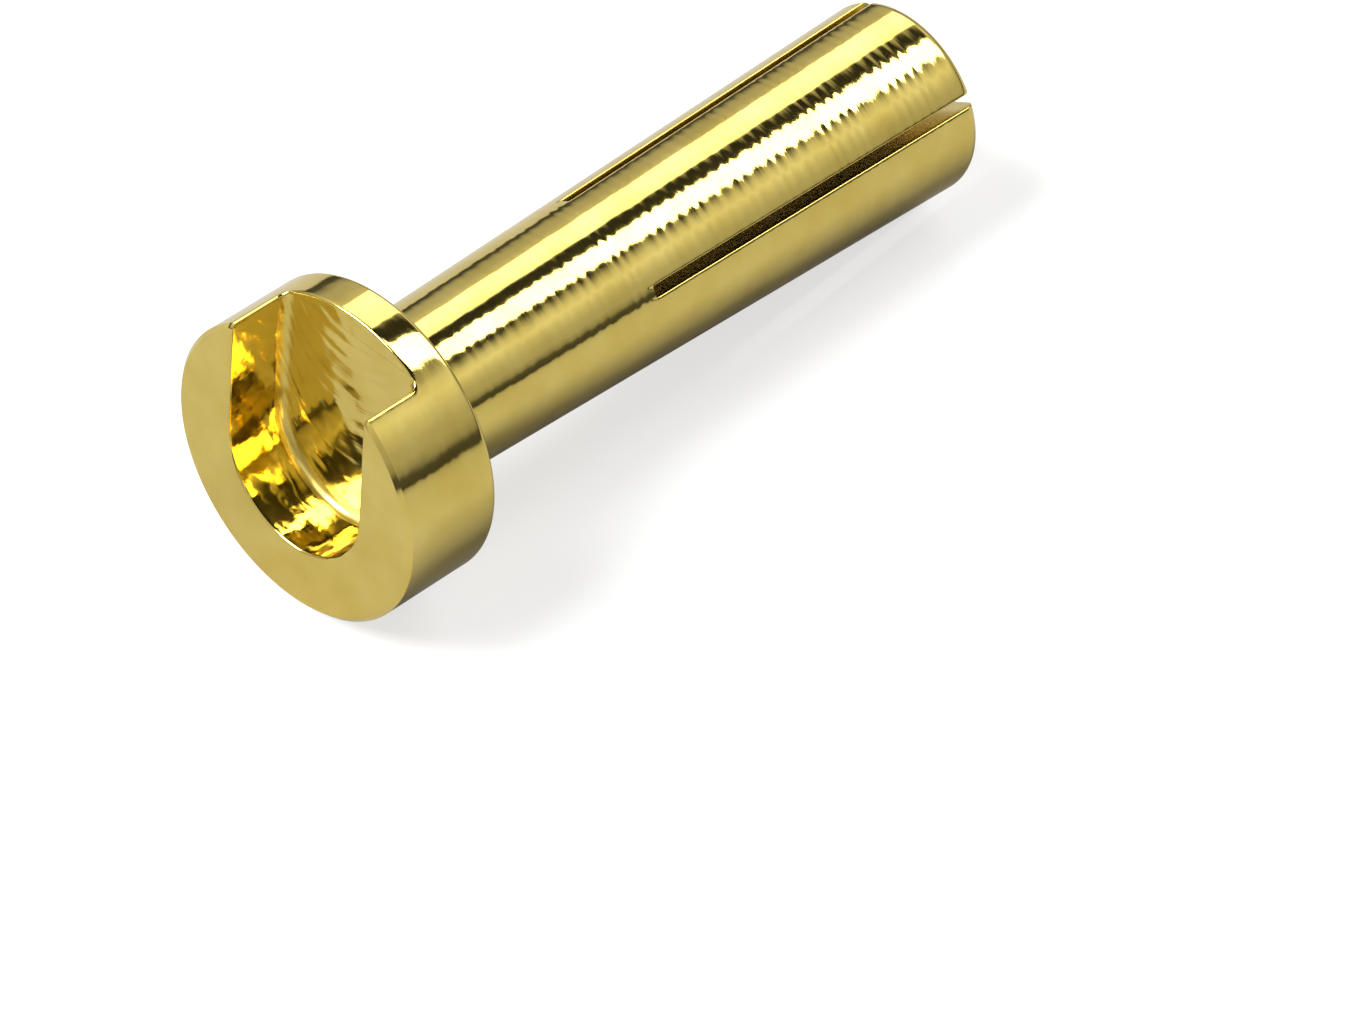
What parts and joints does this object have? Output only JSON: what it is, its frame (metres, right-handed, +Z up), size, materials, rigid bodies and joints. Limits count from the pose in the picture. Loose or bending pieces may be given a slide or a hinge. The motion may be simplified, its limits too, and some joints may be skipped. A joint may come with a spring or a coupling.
{
  "type": "bullet connector plug",
  "caption": "Low-profile bullet plug for a battery lead: a short round head with a solder cup open to one side, and a flared pin slit crosswise into sprung fingers.",
  "frame": {"origin": "bottom centre of the bounding box of the plug as it lies at rest, on the head's rear rim and the pin's tip", "axes": "+Z up, with the solder cup open upwards; +X towards the pin's tip, and the plug's axis slopes 4.3 degrees down towards it"},
  "size_m": [0.0206, 0.0076, 0.0076],
  "materials": {
    "gold_plated_brass": "gold plated, fine turned, bright"
  },
  "bodies": {
    "root": {"bullet_plug": "gold_plated_brass"}
  },
  "joints": []
}
